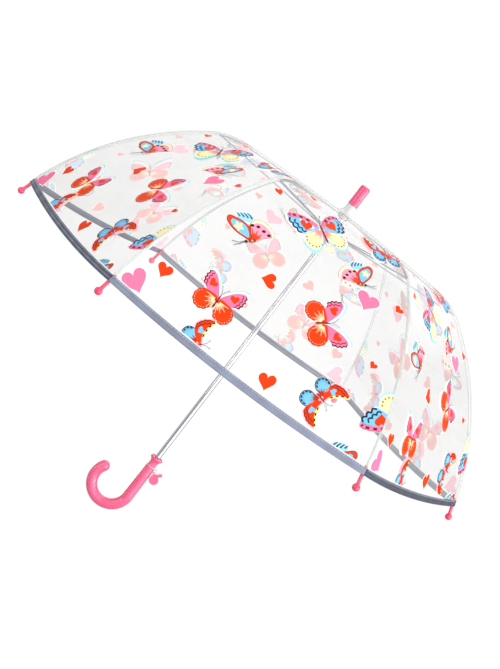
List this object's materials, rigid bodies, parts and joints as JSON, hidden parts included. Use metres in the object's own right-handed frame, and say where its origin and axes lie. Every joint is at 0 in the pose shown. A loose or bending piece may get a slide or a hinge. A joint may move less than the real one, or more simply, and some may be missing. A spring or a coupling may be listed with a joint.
{
  "type": "children's umbrella",
  "caption": "Child's dome umbrella with clear printed film gores on curved wire ribs, a fluted tip, a sliding runner and a hooked handle with a whistle.",
  "frame": {"origin": "on the shaft's axis, at the middle of the straight grip", "axes": "+Z along the shaft towards the ferrule, -X the side the hook turns to, ribs at 0, 60, ... 300 degrees about Z"},
  "size_m": [0.761, 0.6604, 0.584],
  "materials": {
    "clear_film": "clear glossy film",
    "grey_tape": "woven tape",
    "steel_wire": "drawn wire",
    "chrome": "polished plating",
    "pale_rod": "coated rod, smooth",
    "steel_button": "pressed",
    "tip_pink": "glossy",
    "pink_plastic": "glossy",
    "white_plastic": "glossy",
    "frosted_plastic": "translucent",
    "pea": "matte"
  },
  "bodies": {
    "frame": {"shaft_tube": "chrome", "ferrule": "pink_plastic", "canopy_rosette": "frosted_plastic", "crown_notch": "white_plastic", "crown_wire": "steel_wire", "handle": "pink_plastic", "handle_collar": "pink_plastic", "neck_ring": "frosted_plastic"},
    "rib_upper_1": {"rib_upper_1": "steel_wire"},
    "rib_upper_2": {"rib_upper_2": "steel_wire"},
    "rib_upper_3": {"rib_upper_3": "steel_wire"},
    "rib_upper_4": {"rib_upper_4": "steel_wire"},
    "rib_upper_5": {"rib_upper_5": "steel_wire"},
    "rib_upper_6": {"rib_upper_6": "steel_wire"},
    "rib_lower_1": {"rib_lower_1": "pale_rod", "tip_1": "tip_pink"},
    "stretcher_1": {"stretcher_1": "steel_wire"},
    "rib_lower_2": {"rib_lower_2": "pale_rod", "tip_2": "tip_pink"},
    "stretcher_2": {"stretcher_2": "steel_wire"},
    "rib_lower_3": {"rib_lower_3": "pale_rod", "tip_3": "tip_pink"},
    "stretcher_3": {"stretcher_3": "steel_wire"},
    "rib_lower_4": {"rib_lower_4": "pale_rod", "tip_4": "tip_pink"},
    "stretcher_4": {"stretcher_4": "steel_wire"},
    "rib_lower_5": {"rib_lower_5": "pale_rod", "tip_5": "tip_pink"},
    "stretcher_5": {"stretcher_5": "steel_wire"},
    "rib_lower_6": {"rib_lower_6": "pale_rod", "tip_6": "tip_pink"},
    "stretcher_6": {"stretcher_6": "steel_wire"},
    "runner": {"runner": "white_plastic", "runner_pins": "steel_wire"},
    "canopy_upper_1": {"canopy_upper_1": "clear_film"},
    "canopy_lower_1": {"canopy_lower_1": "clear_film", "edge_binding_1": "grey_tape"},
    "canopy_upper_2": {"canopy_upper_2": "clear_film"},
    "canopy_lower_2": {"canopy_lower_2": "clear_film", "edge_binding_2": "grey_tape"},
    "canopy_upper_3": {"canopy_upper_3": "clear_film"},
    "canopy_lower_3": {"canopy_lower_3": "clear_film", "edge_binding_3": "grey_tape"},
    "canopy_upper_4": {"canopy_upper_4": "clear_film"},
    "canopy_lower_4": {"canopy_lower_4": "clear_film", "edge_binding_4": "grey_tape"},
    "canopy_upper_5": {"canopy_upper_5": "clear_film"},
    "canopy_lower_5": {"canopy_lower_5": "clear_film", "edge_binding_5": "grey_tape"},
    "canopy_upper_6": {"canopy_upper_6": "clear_film"},
    "canopy_lower_6": {"canopy_lower_6": "clear_film", "edge_binding_6": "grey_tape"},
    "top_catch": {"top_catch": "steel_button"},
    "bottom_catch": {"bottom_catch": "steel_button"},
    "whistle": {"whistle": "pink_plastic", "whistle_pea": "pea", "whistle_link": "frosted_plastic"}
  },
  "joints": [
    {"name": "rib_upper_1_hinge", "type": "hinge", "parent": "frame", "child": "rib_upper_1", "pos_m": [0.007, 0, 0.466], "axis": [0, 1, 0], "range_deg": [0, 83]},
    {"name": "rib_upper_2_hinge", "type": "hinge", "parent": "frame", "child": "rib_upper_2", "pos_m": [0.0035, 0.00606, 0.466], "axis": [-0.866, 0.5, 0], "range_deg": [-1, 84]},
    {"name": "rib_upper_3_hinge", "type": "hinge", "parent": "frame", "child": "rib_upper_3", "pos_m": [-0.0035, 0.00606, 0.466], "axis": [-0.866, -0.5, 0], "range_deg": [-1, 84]},
    {"name": "rib_upper_4_hinge", "type": "hinge", "parent": "frame", "child": "rib_upper_4", "pos_m": [-0.007, 0, 0.466], "axis": [0, -1, 0], "range_deg": [-1, 84]},
    {"name": "rib_upper_5_hinge", "type": "hinge", "parent": "frame", "child": "rib_upper_5", "pos_m": [-0.0035, -0.00606, 0.466], "axis": [0.866, -0.5, 0], "range_deg": [-1, 84]},
    {"name": "rib_upper_6_hinge", "type": "hinge", "parent": "frame", "child": "rib_upper_6", "pos_m": [0.0035, -0.00606, 0.466], "axis": [0.866, 0.5, 0], "range_deg": [-1, 84]},
    {"name": "rib_lower_1_flex", "type": "hinge", "parent": "rib_upper_1", "child": "rib_lower_1", "pos_m": [0.202, 0, 0.452], "axis": [0, 1, 0], "range_deg": [-47.1, 1]},
    {"name": "stretcher_1_rivet", "type": "hinge", "parent": "rib_upper_1", "child": "stretcher_1", "pos_m": [0.202, 0, 0.452], "axis": [0, 1, 0], "range_deg": [-167, 1]},
    {"name": "rib_lower_2_flex", "type": "hinge", "parent": "rib_upper_2", "child": "rib_lower_2", "pos_m": [0.101, 0.17494, 0.452], "axis": [-0.866, 0.5, 0], "range_deg": [-47.1, 1]},
    {"name": "stretcher_2_rivet", "type": "hinge", "parent": "rib_upper_2", "child": "stretcher_2", "pos_m": [0.101, 0.17494, 0.452], "axis": [-0.866, 0.5, 0], "range_deg": [-167, 1]},
    {"name": "rib_lower_3_flex", "type": "hinge", "parent": "rib_upper_3", "child": "rib_lower_3", "pos_m": [-0.101, 0.17494, 0.452], "axis": [-0.866, -0.5, 0], "range_deg": [-47.1, 1]},
    {"name": "stretcher_3_rivet", "type": "hinge", "parent": "rib_upper_3", "child": "stretcher_3", "pos_m": [-0.101, 0.17494, 0.452], "axis": [-0.866, -0.5, 0], "range_deg": [-167, 1]},
    {"name": "rib_lower_4_flex", "type": "hinge", "parent": "rib_upper_4", "child": "rib_lower_4", "pos_m": [-0.202, 0, 0.452], "axis": [0, -1, 0], "range_deg": [-47.1, 1]},
    {"name": "stretcher_4_rivet", "type": "hinge", "parent": "rib_upper_4", "child": "stretcher_4", "pos_m": [-0.202, 0, 0.452], "axis": [0, -1, 0], "range_deg": [-167, 1]},
    {"name": "rib_lower_5_flex", "type": "hinge", "parent": "rib_upper_5", "child": "rib_lower_5", "pos_m": [-0.101, -0.17494, 0.452], "axis": [0.866, -0.5, 0], "range_deg": [-47.1, 1]},
    {"name": "stretcher_5_rivet", "type": "hinge", "parent": "rib_upper_5", "child": "stretcher_5", "pos_m": [-0.101, -0.17494, 0.452], "axis": [0.866, -0.5, 0], "range_deg": [-167, 1]},
    {"name": "rib_lower_6_flex", "type": "hinge", "parent": "rib_upper_6", "child": "rib_lower_6", "pos_m": [0.101, -0.17494, 0.452], "axis": [0.866, 0.5, 0], "range_deg": [-47.1, 1]},
    {"name": "stretcher_6_rivet", "type": "hinge", "parent": "rib_upper_6", "child": "stretcher_6", "pos_m": [0.101, -0.17494, 0.452], "axis": [0.866, 0.5, 0], "range_deg": [-167, 1]},
    {"name": "runner_pivot", "type": "hinge", "parent": "stretcher_1", "child": "runner", "pos_m": [0.007, 0, 0.438], "axis": [0, 1, 0], "range_deg": [-1, 84]},
    {"name": "canopy_upper_1_hinge", "type": "hinge", "parent": "frame", "child": "canopy_upper_1", "pos_m": [0.00525, 0.00303, 0.466], "axis": [-0.5, 0.866, 0], "range_deg": [-1, 84], "deforming": ["canopy_upper_1"]},
    {"name": "canopy_lower_1_fold", "type": "hinge", "parent": "canopy_upper_1", "child": "canopy_lower_1", "pos_m": [0.15244, 0.08801, 0.45481], "axis": [-0.5, 0.866, 0], "range_deg": [-51, 1], "deforming": ["canopy_lower_1", "edge_binding_1"]},
    {"name": "canopy_upper_2_hinge", "type": "hinge", "parent": "frame", "child": "canopy_upper_2", "pos_m": [0, 0.00606, 0.466], "axis": [-1, 0, 0], "range_deg": [-1, 84], "deforming": ["canopy_upper_2"]},
    {"name": "canopy_lower_2_fold", "type": "hinge", "parent": "canopy_upper_2", "child": "canopy_lower_2", "pos_m": [0, 0.17602, 0.45481], "axis": [-1, 0, 0], "range_deg": [-51, 1], "deforming": ["canopy_lower_2", "edge_binding_2"]},
    {"name": "canopy_upper_3_hinge", "type": "hinge", "parent": "frame", "child": "canopy_upper_3", "pos_m": [-0.00525, 0.00303, 0.466], "axis": [-0.5, -0.866, 0], "range_deg": [-1, 84], "deforming": ["canopy_upper_3"]},
    {"name": "canopy_lower_3_fold", "type": "hinge", "parent": "canopy_upper_3", "child": "canopy_lower_3", "pos_m": [-0.15244, 0.08801, 0.45481], "axis": [-0.5, -0.866, 0], "range_deg": [-51, 1], "deforming": ["canopy_lower_3", "edge_binding_3"]},
    {"name": "canopy_upper_4_hinge", "type": "hinge", "parent": "frame", "child": "canopy_upper_4", "pos_m": [-0.00525, -0.00303, 0.466], "axis": [0.5, -0.866, 0], "range_deg": [-1, 84], "deforming": ["canopy_upper_4"]},
    {"name": "canopy_lower_4_fold", "type": "hinge", "parent": "canopy_upper_4", "child": "canopy_lower_4", "pos_m": [-0.15244, -0.08801, 0.45481], "axis": [0.5, -0.866, 0], "range_deg": [-51, 1], "deforming": ["canopy_lower_4", "edge_binding_4"]},
    {"name": "canopy_upper_5_hinge", "type": "hinge", "parent": "frame", "child": "canopy_upper_5", "pos_m": [0, -0.00606, 0.466], "axis": [1, 0, 0], "range_deg": [-1, 84], "deforming": ["canopy_upper_5"]},
    {"name": "canopy_lower_5_fold", "type": "hinge", "parent": "canopy_upper_5", "child": "canopy_lower_5", "pos_m": [0, -0.17602, 0.45481], "axis": [1, 0, 0], "range_deg": [-51, 1], "deforming": ["canopy_lower_5", "edge_binding_5"]},
    {"name": "canopy_upper_6_hinge", "type": "hinge", "parent": "frame", "child": "canopy_upper_6", "pos_m": [0.00525, -0.00303, 0.466], "axis": [0.5, 0.866, 0], "range_deg": [-1, 84], "deforming": ["canopy_upper_6"]},
    {"name": "canopy_lower_6_fold", "type": "hinge", "parent": "canopy_upper_6", "child": "canopy_lower_6", "pos_m": [0.15244, -0.08801, 0.45481], "axis": [0.5, 0.866, 0], "range_deg": [-51, 1], "deforming": ["canopy_lower_6", "edge_binding_6"]},
    {"name": "top_catch_press", "type": "slide", "parent": "frame", "child": "top_catch", "axis": [0, 1, 0], "range_m": [0, 0.0018], "stiffness_N_per_m": 400, "springref_m": -0.0005},
    {"name": "bottom_catch_press", "type": "slide", "parent": "frame", "child": "bottom_catch", "axis": [0, 1, 0], "range_m": [0, 0.0018], "stiffness_N_per_m": 400, "springref_m": -0.0005},
    {"name": "whistle_swing", "type": "hinge", "parent": "frame", "child": "whistle", "pos_m": [0.0099, 0, 0.0232], "axis": [1, 0, 0], "range_deg": [-20, 20]}
  ],
  "couplings": [
    {"joint": "rib_upper_2_hinge", "follows": "rib_upper_1_hinge", "ratio": 1},
    {"joint": "rib_upper_3_hinge", "follows": "rib_upper_1_hinge", "ratio": 1},
    {"joint": "rib_upper_4_hinge", "follows": "rib_upper_1_hinge", "ratio": 1},
    {"joint": "rib_upper_5_hinge", "follows": "rib_upper_1_hinge", "ratio": 1},
    {"joint": "rib_upper_6_hinge", "follows": "rib_upper_1_hinge", "ratio": 1},
    {"joint": "rib_lower_1_flex", "follows": "rib_upper_1_hinge", "ratio": -0.55542},
    {"joint": "stretcher_1_rivet", "follows": "rib_upper_1_hinge", "ratio": -2},
    {"joint": "rib_lower_2_flex", "follows": "rib_upper_1_hinge", "ratio": -0.55542},
    {"joint": "stretcher_2_rivet", "follows": "rib_upper_1_hinge", "ratio": -2},
    {"joint": "rib_lower_3_flex", "follows": "rib_upper_1_hinge", "ratio": -0.55542},
    {"joint": "stretcher_3_rivet", "follows": "rib_upper_1_hinge", "ratio": -2},
    {"joint": "rib_lower_4_flex", "follows": "rib_upper_1_hinge", "ratio": -0.55542},
    {"joint": "stretcher_4_rivet", "follows": "rib_upper_1_hinge", "ratio": -2},
    {"joint": "rib_lower_5_flex", "follows": "rib_upper_1_hinge", "ratio": -0.55542},
    {"joint": "stretcher_5_rivet", "follows": "rib_upper_1_hinge", "ratio": -2},
    {"joint": "rib_lower_6_flex", "follows": "rib_upper_1_hinge", "ratio": -0.55542},
    {"joint": "stretcher_6_rivet", "follows": "rib_upper_1_hinge", "ratio": -2},
    {"joint": "runner_pivot", "follows": "rib_upper_1_hinge", "ratio": 1},
    {"joint": "canopy_upper_1_hinge", "follows": "rib_upper_1_hinge", "ratio": 1},
    {"joint": "canopy_lower_1_fold", "follows": "rib_upper_1_hinge", "ratio": -0.60241},
    {"joint": "canopy_upper_2_hinge", "follows": "rib_upper_1_hinge", "ratio": 1},
    {"joint": "canopy_lower_2_fold", "follows": "rib_upper_1_hinge", "ratio": -0.60241},
    {"joint": "canopy_upper_3_hinge", "follows": "rib_upper_1_hinge", "ratio": 1},
    {"joint": "canopy_lower_3_fold", "follows": "rib_upper_1_hinge", "ratio": -0.60241},
    {"joint": "canopy_upper_4_hinge", "follows": "rib_upper_1_hinge", "ratio": 1},
    {"joint": "canopy_lower_4_fold", "follows": "rib_upper_1_hinge", "ratio": -0.60241},
    {"joint": "canopy_upper_5_hinge", "follows": "rib_upper_1_hinge", "ratio": 1},
    {"joint": "canopy_lower_5_fold", "follows": "rib_upper_1_hinge", "ratio": -0.60241},
    {"joint": "canopy_upper_6_hinge", "follows": "rib_upper_1_hinge", "ratio": 1},
    {"joint": "canopy_lower_6_fold", "follows": "rib_upper_1_hinge", "ratio": -0.60241}
  ]
}
